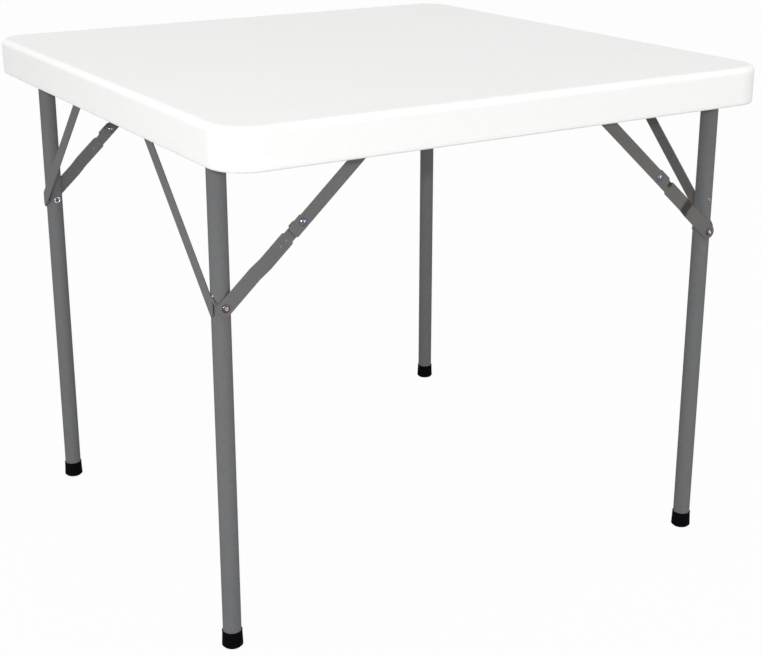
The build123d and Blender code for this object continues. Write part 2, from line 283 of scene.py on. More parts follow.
class CardTableStudio(bpy.types.PropertyGroup):
    """The camera, lamps and floor."""

    camera_place: FloatVectorProperty(
        name="Camera", description="Where the camera stands",
        subtype="TRANSLATION", unit="LENGTH", size=3, default=(-1.1011, -1.8574, 1.0756),
    )
    camera_yaw: FloatProperty(
        name="Yaw", description="Turn of the camera from +Y towards +X",
        subtype="ANGLE", default=0.5513,
    )
    camera_pitch: FloatProperty(
        name="Pitch", description="Tilt of the camera below the horizon",
        subtype="ANGLE", default=0.3065,
    )
    focal_length: FloatProperty(
        name="Focal length", description="Focal length of the lens, in millimetres", default=67.03,
    )
    sensor_width: FloatProperty(
        name="Sensor width", description="Width of the camera's sensor, in millimetres", default=36.0,
    )
    frame_shift_share: FloatProperty(
        name="Shift", description="Vertical shift of the frame, as a share of its width", default=-0.08,
    )
    lamp_aim: FloatVectorProperty(
        name="Lamp aim", description="The point that the key lamp and the two broad lamps face",
        subtype="TRANSLATION", unit="LENGTH", size=3, default=(0.0, 0.0, 0.45),
    )
    key_strength: FloatProperty(
        name="Key light", description="Power of the lamp above the camera, in watts", default=33.5,
    )
    key_rise: FloatProperty(
        name="Key rise", description="Height of the lamp above the camera's line of sight",
        unit="LENGTH", default=0.065,
    )
    key_reach_share: FloatProperty(
        name="Key reach", description="Distance of the lamp, as a share of the camera's", default=1.5,
    )
    key_size: FloatProperty(
        name="Key size", description="Width of the lamp above the camera", unit="LENGTH", default=0.09,
    )
    fill_place: FloatVectorProperty(
        name="Fill place", description="Where the broad lamp on the left stands",
        subtype="TRANSLATION", unit="LENGTH", size=3, default=(-2.8, -0.5, 1.0),
    )
    fill_strength: FloatProperty(
        name="Fill light", description="Power of the broad lamp on the left, in watts", default=21.5,
    )
    front_place: FloatVectorProperty(
        name="Front place", description="Where the broad lamp in front stands, level with the top",
        subtype="TRANSLATION", unit="LENGTH", size=3, default=(2.2, -3.4, 0.72),
    )
    front_strength: FloatProperty(
        name="Front light", description="Power of the broad lamp in front, in watts", default=30.0,
    )
    broad_size: FloatProperty(
        name="Broad size", description="Width of the two broad lamps", unit="LENGTH", default=1.6,
    )
    overhead_place: FloatVectorProperty(
        name="Overhead place", description="Where the broad light from above comes from",
        subtype="TRANSLATION", unit="LENGTH", size=3, default=(-0.4, -0.6, 3.0),
    )
    overhead_strength: FloatProperty(
        name="Overhead light", description="Strength of the broad light from above", default=1.28,
    )
    overhead_spread: FloatProperty(
        name="Overhead spread", description="Angle across the broad light from above",
        subtype="ANGLE", default=radians(50),
    )
    dome_strength: FloatProperty(
        name="Dome", description="Strength of the even light from all round", default=0.465,
    )
    floor_size: FloatProperty(
        name="Floor", description="Width of the floor", unit="LENGTH", default=40.0,
    )
    floor_colour: FloatVectorProperty(
        name="Floor colour", description="Matt colour of the floor, which sends light up under the table",
        subtype="COLOR", size=3, min=0, max=1, default=(0.5, 0.5, 0.5),
    )
    floor_glow_share: FloatProperty(
        name="Floor glow", description="Share of pure white in what the camera sees of the floor",
        subtype="FACTOR", min=0, max=1, default=0.97,
    )


class Wire:
    """One socket in a layout of nodes. Arithmetic on it adds Math nodes."""

    def __init__(self, layout, socket):
        self.layout = layout
        self.socket = socket

    def maths(self, operation, *values):
        return self.layout.node("ShaderNodeMath", {"operation": operation}, dict(enumerate(values)))

    def __add__(self, other):
        return self.maths("ADD", self, other)

    def __radd__(self, other):
        return self.maths("ADD", other, self)

    def __sub__(self, other):
        return self.maths("SUBTRACT", self, other)

    def __rsub__(self, other):
        return self.maths("SUBTRACT", other, self)

    def __mul__(self, other):
        return self.maths("MULTIPLY", self, other)

    def greatest(self, other):
        return self.maths("MAXIMUM", self, other)

    def between(self, low, high):
        """0 below low, 1 above high, and a smooth step from one to the other."""
        sockets = {"Value": self, "From Min": low, "From Max": high}
        settings = {"interpolation_type": "SMOOTHSTEP", "clamp": True}
        return self.layout.node("ShaderNodeMapRange", settings, sockets)


class Layout:
    """A tree of nodes that is being laid out."""

    def __init__(self, tree):
        self.tree = tree

    def connect(self, target, value):
        """Link a wire to a socket, or set the socket to a plain value."""
        if isinstance(value, Wire):
            self.tree.links.new(value.socket, target)
        else:
            target.default_value = value

    def node(self, kind, settings, sockets, output=0):
        """Add a node with its settings, then its sockets' values or links."""
        node = self.tree.nodes.new(kind)
        for name, value in settings.items():
            setattr(node, name, value)
        for socket, value in sockets.items():
            self.connect(node.inputs[socket], value)
        return Wire(self, node.outputs[output])


class Finish(Layout):
    """A material's nodes, round one Principled shader."""

    def __init__(self, name, **fixed):
        self.material = bpy.data.materials.new(name)
        self.material.use_nodes = True
        super().__init__(self.material.node_tree)
        self.shader = self.tree.nodes["Principled BSDF"]
        for socket, value in fixed.items():
            self.shader.inputs[socket.replace("_", " ")].default_value = value

    def feed(self, **wires):
        """Link wires to the shader's sockets."""
        for socket, wire in wires.items():
            self.connect(self.shader.inputs[socket.replace("_", " ")], wire)

    def place(self):
        """The point on the piece, in metres, which stays with the piece as it moves."""
        return self.node("ShaderNodeTexCoord", {}, {}, "Object")

    def stretched(self, place, factors):
        """The place with each axis multiplied, so that a pattern runs along one of them."""
        return self.node("ShaderNodeVectorMath", {"operation": "MULTIPLY"}, {0: place, 1: factors})

    def height(self, place):
        """The height of a place above the floor."""
        return self.node("ShaderNodeSeparateXYZ", {}, {"Vector": place}, "Z")

    def along(self, place, start, way):
        """How far a place lies from a start, measured along a way, in metres."""
        sockets = {0: place, 1: way}
        run = self.node("ShaderNodeVectorMath", {"operation": "DOT_PRODUCT"}, sockets, "Value")
        return run - start.dot(way)

    def near(self, place, centre, radius, fade_share=0.2):
        """1 near a line along Y through a centre and 0 away from it, with a soft edge between."""
        sockets = {0: self.stretched(place, (1, 0, 1)), 1: (centre.x, 0, centre.z)}
        distance = self.node("ShaderNodeVectorMath", {"operation": "DISTANCE"}, sockets, "Value")
        return 1 - distance.between(radius * (1 - fade_share), radius * (1 + fade_share))

    def crevices(self, reach, closed_share=0.25, open_share=0.8):
        """1 deep in a crevice, 0 on an open face, from what lies within a reach in metres."""
        settings = {"samples": 8}
        openness = self.node("ShaderNodeAmbientOcclusion", settings, {"Distance": reach}, "AO")
        return 1 - openness.between(closed_share, open_share)

    def edges(self, width, flat=0.02, sharp=0.16):
        """1 on the sharp edges of a piece, and 0 further from them than a width in metres."""
        rounded = self.node("ShaderNodeBevel", {"samples": 6}, {"Radius": width})
        normal = self.node("ShaderNodeNewGeometry", {}, {}, "Normal")
        settings = {"operation": "DOT_PRODUCT"}
        likeness = self.node("ShaderNodeVectorMath", settings, {0: rounded, 1: normal}, "Value")
        return (1 - likeness).between(flat, sharp)

    def noise(self, place, cells, detail, rough):
        """Cloudy noise from 0 to 1, with this many cells to the metre."""
        sockets = {"Vector": place, "Scale": cells, "Detail": detail, "Roughness": rough}
        return self.node("ShaderNodeTexNoise", {}, sockets)

    def pebbles(self, place, cells, smooth=0.6):
        """Rounded pebbles, as the distance from each one's middle."""
        sockets = {"Vector": place, "Scale": cells, "Smoothness": smooth}
        return self.node("ShaderNodeTexVoronoi", {"feature": "SMOOTH_F1"}, sockets)

    def mixed(self, share, first, second):
        """One colour turning into another as the share goes from 0 to 1."""
        sockets = {0: share, 6: first, 7: second}
        return self.node("ShaderNodeMix", {"data_type": "RGBA"}, sockets, 2)

    def tinted(self, base, mask, amount, tone):
        """The base colour, turned by this amount towards a tone where the mask is 1."""
        return self.mixed(mask * amount, base, tone)

    def bumped(self, height, depth, strength):
        """A surface normal raised by a height from 0 to 1, of this depth in metres."""
        sockets = {"Height": height, "Distance": depth, "Strength": strength}
        return self.node("ShaderNodeBump", {}, sockets)


def shade(colour, factor, tint=UNTINTED):
    """A colour made lighter or darker, and tinted, with its alpha."""
    return (*[min(1.0, channel * factor * part) for channel, part in zip(colour, tint)], 1.0)


def moulded_plastic(colour):
    """Pale moulded plastic with a fine pebble grain, faint clouding and light scuffs."""
    finish = Finish("moulded_plastic", Specular_IOR_Level=0.3)
    place = finish.place()
    clouds = finish.noise(place, cells=3.5, detail=3.0, rough=0.6)
    mottle = finish.noise(place, cells=60.0, detail=3.0, rough=0.6)
    grain = finish.pebbles(place, cells=620.0)
    fine = finish.noise(place, cells=2600.0, detail=2.0, rough=0.6)
    drawn_out = finish.stretched(place, (2.0, 26.0, 9.0))
    scuffs = finish.noise(drawn_out, cells=5.0, detail=5.0, rough=0.62).between(0.68, 0.8)
    rim_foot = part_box("table_top")[0].z
    grime = 1 - finish.height(place).between(rim_foot, rim_foot + RIM_GRIME_HEIGHT)

    base = finish.mixed(clouds, shade(colour, 0.985, (1.0, 0.999, 0.99)), shade(colour, 1.01))
    base = finish.tinted(base, mottle.between(0.3, 0.75), amount=0.35, tone=shade(colour, 0.965))
    base = finish.tinted(base, fine.between(0.62, 0.8), amount=0.3, tone=shade(colour, 0.9))
    base = finish.tinted(base, scuffs, amount=0.22, tone=shade(colour, 0.86, (1.0, 0.99, 0.97)))
    base = finish.tinted(base, grime, amount=0.25, tone=shade(colour, 0.72, (1.0, 0.98, 0.95)))

    rough = 0.5 + mottle * 0.08 + fine * 0.06 - scuffs * 0.1
    normal = finish.bumped(grain * 0.75 + fine * 0.25, depth=0.00022, strength=0.5)
    finish.feed(Base_Color=base, Roughness=rough, Normal=normal)
    return finish.material


def powder_coat(name, colour, warmth, edge_wear=0.0, marks=None):
    """Satin powder coat on steel: orange peel, flecks, rubbed streaks and edges, and painted shade in
    crevices.

    The marks are painted light: a function of the finish, the place and the coat's colour so far,
    which returns the colour with that painted light on it.
    """
    finish = Finish(name, Specular_IOR_Level=0.16)
    place = finish.place()
    clouds = finish.noise(place, cells=14.0, detail=3.0, rough=0.6)
    peel = finish.noise(place, cells=950.0, detail=2.0, rough=0.5)
    flecks = finish.noise(place, cells=4200.0, detail=1.0, rough=0.5)
    drawn_out = finish.stretched(place, (34.0, 34.0, 1.6))
    streaks = finish.noise(drawn_out, cells=9.0, detail=4.0, rough=0.6).between(0.69, 0.78)
    dust = finish.noise(place, cells=130.0, detail=4.0, rough=0.7).between(0.5, 0.85)
    mottle = finish.noise(place, cells=560.0, detail=2.0, rough=0.6).between(0.32, 0.68)

    base = finish.mixed(clouds, shade(colour, 0.92, warmth), shade(colour, 1.08))
    base = finish.tinted(base, mottle, amount=0.55, tone=shade(colour, 0.72, warmth))
    base = finish.tinted(base, flecks.between(0.6, 0.72), amount=0.5, tone=shade(colour, 1.75))
    base = finish.tinted(base, dust, amount=0.25, tone=shade(colour, 1.3, warmth))
    base = finish.tinted(base, streaks, amount=0.3, tone=shade(colour, 1.6))
    rough = 0.56 + peel * 0.1 + dust * 0.12 - streaks * 0.16
    if marks:
        base = marks(finish, place, base)
    # Painted shade: the coat darkened in crevices and where parts meet
    base = finish.tinted(base, finish.crevices(CREVICE_REACH), amount=0.75, tone=shade(colour, 0.2))
    if edge_wear > 0:
        worn = finish.edges(WORN_EDGE_WIDTH) * (0.4 + mottle * 0.6) * edge_wear
        base = finish.mixed(worn, base, shade(colour, 2.2))
        rough = rough - worn * 0.2
    normal = finish.bumped(peel * 0.8 + flecks * 0.2, depth=0.00012, strength=0.6)
    finish.feed(Base_Color=base, Roughness=rough, Normal=normal)
    return finish.material


def link_shading(side, colour, details):
    """Painted shade in a band across the joggle of a frame's lower links, where its slope turns from the
    light, and a painted shadow by the stop tab.
    """
    start, way = link_line(side)
    above = Vector((way.z * OUTWARDS[side], 0, abs(way.x)))
    tab_end = start + way * details.shading_tab_run + above * details.shading_tab_rise
    # Tone of the painted shade on the joggle and of the painted shadow by the stop tab
    painted_shade = shade(colour, 0.24, (1.2, 0.95, 0.9))

    def shading(finish, place, base):
        cloud = finish.noise(place, cells=160.0, detail=2.0, rough=0.6)
        run = finish.along(place, start, way) + (cloud - 0.5) * details.shading_waver
        low = details.shading_start
        high = low + details.shading_length
        fade = details.shading_fade
        band = run.between(low - fade, low + fade) * (1 - run.between(high - fade, high + fade))
        spot = finish.near(place, tab_end, details.shading_tab_radius)
        return finish.tinted(base, band.greatest(spot), amount=0.95, tone=painted_shade)

    return shading


def link_highlights(side, colour, details):
    """Two small painted highlights on a frame's lower links, short of the stop tab."""
    start, way = link_line(side)

    def highlights(finish, place, base):
        for run in (details.highlight_run, details.highlight_run + details.highlight_step):
            spot = finish.near(place, start + way * run, details.highlight_radius)
            # A painted highlight: the coat lightened in a small round spot
            base = finish.tinted(base, spot, amount=0.8, tone=shade(colour, 1.7))
        return base

    return highlights


def zinc_plate(name, colour):
    """Zinc on steel, faintly blue and violet, with fine pressing marks."""
    finish = Finish(name, Metallic=1.0)
    place = finish.place()
    film = finish.noise(place, cells=170.0, detail=2.0, rough=0.5)
    marks = finish.noise(place, cells=1900.0, detail=4.0, rough=0.65)
    dull = finish.noise(place, cells=420.0, detail=3.0, rough=0.6).between(0.5, 0.8)

    bluish = shade(colour, 1.0, (0.95, 0.97, 1.06))
    reddish = shade(colour, 1.02, (1.04, 0.98, 1.0))
    base = finish.mixed(film, bluish, reddish)
    base = finish.tinted(base, dull, amount=0.5, tone=shade(colour, 0.7))
    rough = 0.13 + marks * 0.1 + dull * 0.14
    normal = finish.bumped(marks, depth=0.00005, strength=0.4)
    finish.feed(Base_Color=base, Roughness=rough, Normal=normal)
    return finish.material


def cap_rubber(colour):
    """Black rubber with a fine grain and pale dust towards the floor."""
    finish = Finish("cap_rubber", Specular_IOR_Level=0.03)
    place = finish.place()
    grain = finish.pebbles(place, cells=1500.0)
    blooms = finish.noise(place, cells=120.0, detail=4.0, rough=0.65)
    low = 1 - finish.height(place).between(0.0, CAP_DUST_HEIGHT)
    dust = low * blooms.between(0.35, 0.75)

    base = finish.mixed(blooms, shade(colour, 0.8), shade(colour, 1.5))
    base = finish.tinted(base, dust, amount=0.12, tone=shade(colour, 14.0, (1.0, 0.95, 0.88)))
    rough = 0.66 + blooms * 0.14 + dust * 0.12
    normal = finish.bumped(grain, depth=0.0001, strength=0.5)
    finish.feed(Base_Color=base, Roughness=rough, Normal=normal)
    return finish.material


def plug_plastic(colour):
    """Black moulded plastic, a little shinier than the foot caps."""
    finish = Finish("plug_plastic", Specular_IOR_Level=0.3)
    place = finish.place()
    grain = finish.noise(place, cells=1300.0, detail=3.0, rough=0.6)
    clouds = finish.noise(place, cells=90.0, detail=2.0, rough=0.5)
    base = finish.mixed(clouds, shade(colour, 0.8), shade(colour, 1.4))
    normal = finish.bumped(grain, depth=0.00006, strength=0.5)
    finish.feed(Base_Color=base, Roughness=0.4 + grain * 0.14, Normal=normal)
    return finish.material


def dress(nodes, material):
    """Give CAD nodes a finish."""
    for name in nodes:
        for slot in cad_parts[name].material_slots:
            slot.material = material


def finish_named(name):
    """A finish that an earlier step has made."""
    material = bpy.data.materials.get(name)
    if material is None:
        raise RuntimeError(f"the finish {name} isn't made yet")
    return material


def bead(name, points, radii, closed, body, material):
    """A round bead along a line of points, with a radius at each of them, on a body."""
    line = bpy.data.curves.new(name, "CURVE")
    line.dimensions = "3D"
    line.bevel_depth = 1.0
    line.bevel_resolution = bpy.context.scene.card_table_details.bead_facets
    line.use_fill_caps = not closed
    spline = line.splines.new("POLY")
    spline.points.add(len(points) - 1)
    for target, point, radius in zip(spline.points, points, radii):
        target.co = (*point, 1.0)
        target.radius = radius
    spline.use_cyclic_u = closed
    carrier = bpy.data.objects.new(name + "_line", line)
    bpy.context.scene.collection.objects.link(carrier)
    bpy.context.view_layer.update()
    mesh = bpy.data.meshes.new_from_object(carrier.evaluated_get(bpy.context.evaluated_depsgraph_get()))
    bpy.data.objects.remove(carrier)
    bpy.data.curves.remove(line)
    for face in mesh.polygons:
        face.use_smooth = True
    mesh.name = name
    mesh.materials.clear()
    mesh.materials.append(material)
    piece = bpy.data.objects.new(name, mesh)
    bpy.context.scene.collection.objects.link(piece)
    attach(piece, body)


def ring(name, points, radius, body, material):
    """A closed bead of one radius through a ring of points, on a body."""
    bead(name, points, [radius] * len(points), True, body, material)


def full_turn(steps):
    """Angles at equal steps round a whole circle."""
    return [2 * pi * step / steps for step in range(steps)]


def rippled(points, details, tapered=False, end_share=0.3):
    """Radii for a weld bead: fine ripples along it, and a taper at both ends of an open one."""
    radii = []
    run = 0.0
    for number, point in enumerate(points):
        run += (point - points[max(number - 1, 0)]).length
        ripple = details.ripple_share * sin(2 * pi * run / details.ripple_pitch)
        radius = details.bead_radius * (1 + ripple)
        if tapered:
            towards_end = abs(2 * number / (len(points) - 1) - 1)
            radius *= end_share + (1 - end_share) * (1 - towards_end**3)
        radii.append(radius)
    return radii


def head_joint(side, end, details):
    """Points round the joint where a leg's head meets its cross tube."""
    leg, radius = leg_tube(side, end)
    axis_height = middle(f"cross_tube_{side}").z
    points = []
    for turn in full_turn(details.curve_steps):
        across = radius * cos(turn)
        drop = max((radius**2 - across**2) ** 0.5, details.head_land)
        points.append(Vector((leg.x + across, leg.y + radius * sin(turn), axis_height - drop)))
    return points


def brace_edge(side, end, details, edge, along):
    """A point on one edge of a side brace, at a distance down from the cross tube's axis."""
    leg = middle(f"leg_{side}_{end}")
    pivot = middle(f"cross_tube_{side}")
    low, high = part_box(f"side_brace_{side}_{end}")
    length = hypot(details.brace_run, details.brace_drop)
    slope = Vector((0, details.brace_run / length * OUTWARDS[end], -details.brace_drop / length))
    across = Vector((0, -slope.z * OUTWARDS[end], slope.y * OUTWARDS[end]))
    start = Vector((0, leg.y - OUTWARDS[end] * details.brace_run, pivot.z))
    point = start + slope * along + across * edge * details.brace_width / 2
    return Vector(((low.x + high.x) / 2, point.y, point.z))


class CARDTABLE_OT_top_finish(bpy.types.Operator):
    """Finish the moulded top"""

    bl_idname = "card_table.top_finish"
    bl_label = "Finish the top"

    def execute(self, context):
        colours = context.scene.card_table_finishes
        dress(["table_top"], moulded_plastic(colours.top_colour))
        return {"FINISHED"}


class CARDTABLE_OT_steel_finish(bpy.types.Operator):
    """Powder coat the tubes, braces, clamps and brackets"""

    bl_idname = "card_table.steel_finish"
    bl_label = "Finish the steelwork"

    edge_wear: FloatProperty(
        name="Edge wear", description="How far the coat is rubbed bright on sharp edges",
        subtype="FACTOR", min=0, max=1, default=0.7,
    )
    bar_tint: FloatVectorProperty(
        name="Bar tint", description="Tint of the darker clouds in the coat of the bars",
        size=3, default=(1.01, 1.0, 0.99),
    )

    def execute(self, context):
        colours = context.scene.card_table_finishes
        details = context.scene.card_table_details
        tubes = corner_names("leg") + side_names("cross_tube")
        brackets = corner_names("pivot_clamp") + corner_names("brace_bracket")
        dress(tubes, powder_coat("tube_coat", colours.tube_colour, UNTINTED))
        dress(brackets, powder_coat("bracket_coat", colours.bracket_colour, UNTINTED, self.edge_wear))
        # Painted highlights on the left lower links, painted shade and shadow on the right ones
        highlights = link_highlights("left", colours.left_bar_colour, details)
        shading = link_shading("right", colours.right_bar_colour, details)
        self.coat_bars("left", colours.left_bar_colour, highlights)
        self.coat_bars("right", colours.right_bar_colour, shading)
        return {"FINISHED"}

    def coat_bars(self, side, colour, marks):
        """Coat the flat bars of one frame, with marks of painted light on its lower links alone."""
        bars = [f"{bar}_{side}_{end}" for bar in ("side_brace", "upper_link") for end in ENDS]
        dress(bars, powder_coat(f"bar_coat_{side}", colour, self.bar_tint, self.edge_wear))
        links = [f"lower_link_{side}_{end}" for end in ENDS]
        dress(links, powder_coat(f"link_coat_{side}", colour, self.bar_tint, self.edge_wear, marks))


class CARDTABLE_OT_fastener_finish(bpy.types.Operator):
    """Plate the rivets, washers and screws, and make the platings of the rings and the eyelet"""

    bl_idname = "card_table.fastener_finish"
    bl_label = "Finish the fasteners"

    def execute(self, context):
        colours = context.scene.card_table_finishes
        # Mid rivets, washers and screws: zinc darkened as a painted reflection of dark surroundings
        mid_rivets = corner_names("mid_rivet_head") + corner_names("mid_rivet_tail")
        others = side_names("leg_washers") + ["clamp_screws", "bracket_screws"]
        dress(mid_rivets + others, zinc_plate("zinc_plate", colours.zinc_colour))
        # The leg and bracket rivets get the darker zinc, a painted reflection of dark surroundings
        dark_rivets = side_names("leg_rivets") + ["bracket_rivets"]
        dress(dark_rivets, zinc_plate("zinc_painted_dark", colours.dark_reflection_colour))
        zinc_plate("bright_zinc", colours.bright_colour)
        zinc_plate("eyelet_zinc", colours.eyelet_colour)
        return {"FINISHED"}


class CARDTABLE_OT_rubber_finish(bpy.types.Operator):
    """Finish the foot caps and the cross tubes' plugs"""

    bl_idname = "card_table.rubber_finish"
    bl_label = "Finish the caps and plugs"

    def execute(self, context):
        colours = context.scene.card_table_finishes
        dress(corner_names("foot_cap"), cap_rubber(colours.cap_colour))
        dress(side_names("cross_tube_plugs"), plug_plastic(colours.plug_colour))
        return {"FINISHED"}


class CARDTABLE_OT_head_welds(bpy.types.Operator):
    """Weld each leg's head to its cross tube"""

    bl_idname = "card_table.head_welds"
    bl_label = "Leg head welds"

    def execute(self, context):
        details = context.scene.card_table_details
        coat = finish_named("tube_coat")
        for side, end in CORNERS:
            points = head_joint(side, end, details)
            radii = rippled(points, details)
            bead(f"head_weld_{side}_{end}", points, radii, True, f"{side}_frame", coat)
        return {"FINISHED"}


class CARDTABLE_OT_brace_welds(bpy.types.Operator):
    """Weld the ends of each side brace along both of its edges"""

    bl_idname = "card_table.brace_welds"
    bl_label = "Side brace welds"

    length_share: FloatProperty(
        name="Length share", description="Length of a weld, as a share of the leg's diameter",
        subtype="FACTOR", min=0, max=1, default=5 / 11,
    )
    steps: IntProperty(name="Steps", description="Points along a weld, less one", min=4, default=24)

    def execute(self, context):
        details = context.scene.card_table_details
        for side, end in CORNERS:
            self.weld_brace(side, end, details, finish_named(f"bar_coat_{side}"))
        return {"FINISHED"}

    def weld_brace(self, side, end, details, coat):
        """The four short beads of one side brace: two at the leg, two at the cross tube."""
        radius = leg_tube(side, end)[1]
        length = hypot(details.brace_run, details.brace_drop)
        # How far down from the cross tube's axis each pair of beads has its middle
        for place, along in (("leg", length), ("tube", radius / 2)):
            for edge, edge_name in ((-1, "lower"), (1, "upper")):
                points = []
                for step in range(self.steps + 1):
                    offset = radius * self.length_share * (2 * step / self.steps - 1)
                    point = brace_edge(side, end, details, edge, along + offset)
                    point.x -= OUTWARDS[side] * details.bead_radius
                    points.append(point)
                name = f"brace_weld_{place}_{edge_name}_{side}_{end}"
                radii = rippled(points, details, tapered=True)
                bead(name, points, radii, False, f"{side}_frame", coat)


class CARDTABLE_OT_mould_line(bpy.types.Operator):
    """Lay the fine line round the rim where the two halves of the mould met"""

    bl_idname = "card_table.mould_line"
    bl_label = "Mould line"

    rim_corner: FloatProperty(
        name="Corner radius", description="Radius of the top's corners", unit="LENGTH", default=0.05,
    )
    rim_edge: FloatProperty(
        name="Edge radius", description="Radius of the rim's lower edge", unit="LENGTH", default=0.0025,
    )

    def execute(self, context):
        details = context.scene.card_table_details
        plastic = finish_named("moulded_plastic")
        low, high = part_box("table_top")
        height = low.z + self.rim_edge
        points = []
        quarter = details.curve_steps // 4
        for number, (x, y) in enumerate(((1, 1), (-1, 1), (-1, -1), (1, -1))):
            centre_x = (low.x + high.x) / 2 + x * (extent("table_top").x / 2 - self.rim_corner)
            centre_y = (low.y + high.y) / 2 + y * (extent("table_top").y / 2 - self.rim_corner)
            for step in range(quarter + 1):
                turn = pi / 2 * (number + step / quarter)
                across = self.rim_corner * cos(turn)
                along = self.rim_corner * sin(turn)
                points.append(Vector((centre_x + across, centre_y + along, height)))
        ring("mould_line", points, details.mould_line, "table", plastic)
        return {"FINISHED"}


class CARDTABLE_OT_cap_beads(bpy.types.Operator):
    """Add the raised bead round the mouth of each foot cap"""

    bl_idname = "card_table.cap_beads"
    bl_label = "Foot cap beads"

    def execute(self, context):
        details = context.scene.card_table_details
        rubber = finish_named("cap_rubber")
        for side, end in CORNERS:
            leg, radius = leg_tube(side, end)
            mouth = radius + details.cap_bead
            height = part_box(f"foot_cap_{side}_{end}")[1].z - details.cap_bead
            points = []
            for turn in full_turn(details.curve_steps):
                points.append(Vector((leg.x + mouth * cos(turn), leg.y + mouth * sin(turn), height)))
            name = f"cap_bead_{side}_{end}"
            ring(name, points, details.cap_bead, f"{side}_frame", rubber)
        return {"FINISHED"}


class CARDTABLE_OT_drain_eyelet(bpy.types.Operator):
    """Set the small eyelet in the front of the right front leg"""

    bl_idname = "card_table.drain_eyelet"
    bl_label = "Drain eyelet"

    steps: IntProperty(name="Steps", description="Points round the eyelet", min=8, default=32)

    def execute(self, context):
        details = context.scene.card_table_details
        zinc = finish_named("eyelet_zinc")
        leg, radius = leg_tube("right", "front")
        points = []
        for turn in full_turn(self.steps):
            across = details.drain_radius * cos(turn)
            front = leg.y - (radius**2 - across**2) ** 0.5
            height = details.drain_height + details.drain_radius * sin(turn)
            points.append(Vector((leg.x + across, front, height)))
        ring("drain_eyelet", points, details.drain_bead, "right_frame", zinc)
        return {"FINISHED"}


class CARDTABLE_OT_rivet_rings(bpy.types.Operator):
    """Roll the inner end of each leg rivet into a ring, and crown its outer head"""

    bl_idname = "card_table.rivet_rings"
    bl_label = "Rivet rings"

    stand_off_share: FloatProperty(
        name="Stand-off", description="Gap from the leg to a rolled end's middle, in radii of its bead",
        subtype="FACTOR", min=0, max=2, default=1.5,
    )
    sunk_share: FloatProperty(
        name="Sunk crown", description="How deep a crown's middle lies, in radii of its bead",
        subtype="FACTOR", min=0, max=1, default=1 / 3,
    )
    steps: IntProperty(name="Steps", description="Points round a ring", min=8, default=48)

    def execute(self, context):
        details = context.scene.card_table_details
        zinc = finish_named("bright_zinc")
        for side, end in CORNERS:
            low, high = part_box(f"leg_rivets_{side}")
            leg, tube_radius = leg_tube(side, end)
            stand_off = self.stand_off_share * details.ring_bead
            inner = leg.y - OUTWARDS[end] * (tube_radius + stand_off)
            outer = high.y if OUTWARDS[end] > 0 else low.y
            outer -= OUTWARDS[end] * details.crown_bead * self.sunk_share
            for kind, y, radius, thickness in (
                ("rolled_end", inner, details.ring_radius, details.ring_bead),
                ("rivet_crown", outer, details.crown_radius, details.crown_bead),
            ):
                points = self.facing_y(Vector((leg.x, y, (low.z + high.z) / 2)), radius)
                ring(f"{kind}_{side}_{end}", points, thickness, f"{side}_frame", zinc)
        return {"FINISHED"}

    def facing_y(self, centre, radius):
        """Points round an upright ring that faces along Y."""
        turns = full_turn(self.steps)
        return [centre + Vector((radius * cos(turn), 0, radius * sin(turn))) for turn in turns]


class CARDTABLE_OT_weld_nuggets(bpy.types.Operator):
    """Leave a bare nugget of weld where each side brace ends on its leg"""

    bl_idname = "card_table.weld_nuggets"
    bl_label = "Weld nuggets"

    first_turn: FloatProperty(
        name="First turn", description="Where a nugget starts, round the leg from its outer side",
        subtype="ANGLE", default=radians(7),
    )
    last_turn: FloatProperty(
        name="Last turn", description="Where a nugget ends", subtype="ANGLE", default=radians(25),
    )
    tip_share: FloatProperty(
        name="Tip share", description="Radius of a nugget's ends, as a share of its middle's",
        subtype="FACTOR", min=0, max=1, default=0.25,
    )
    steps: IntProperty(name="Steps", description="Points along a nugget, less one", min=4, default=12)

    def execute(self, context):
        details = context.scene.card_table_details
        zinc = finish_named("bright_zinc")
        for side, end in CORNERS:
            points, radii = self.nugget_line(side, end, details)
            name = f"weld_nugget_{side}_{end}"
            bead(name, points, radii, False, f"{side}_frame", zinc)
        return {"FINISHED"}

    def nugget_line(self, side, end, details):
        """Points along one nugget, and its swelling radii."""
        leg, radius = leg_tube(side, end)
        foot = middle(f"leg_rivets_{side}").z + details.nugget_height
        points, radii = [], []
        for step in range(self.steps + 1):
            share = step / self.steps
            turn = self.first_turn + (self.last_turn - self.first_turn) * share
            out = Vector((OUTWARDS[side] * cos(turn), OUTWARDS[end] * sin(turn), 0)) * radius
            points.append(Vector((leg.x, leg.y, foot + details.nugget_rise * share)) + out)
            swelling = self.tip_share + (1 - self.tip_share) * sin(pi * share) ** 0.5
            radii.append(details.bead_radius * swelling)
        return points, radii


def add_lamp(name, kind, place, aim, **settings):
    """A lamp at a place, turned to point at its aim."""
    data = bpy.data.lights.new(name, kind)
    for setting, value in settings.items():
        setattr(data, setting, value)
    lamp = bpy.data.objects.new(name, data)
    lamp.location = place
    lamp.rotation_euler = (Vector(aim) - Vector(place)).to_track_quat("-Z", "Y").to_euler()
    bpy.context.scene.collection.objects.link(lamp)


def studio_floor(studio):
    """A wide floor that looks white and keeps a faint shadow of the table."""
    half = studio.floor_size / 2
    corners = [(-half, -half, 0), (half, -half, 0), (half, half, 0), (-half, half, 0)]
    mesh = bpy.data.meshes.new("studio_floor")
    mesh.from_pydata(corners, [], [(0, 1, 2, 3)])
    floor = bpy.data.objects.new("studio_floor", mesh)
    bpy.context.scene.collection.objects.link(floor)
    mesh.materials.append(floor_material(studio))


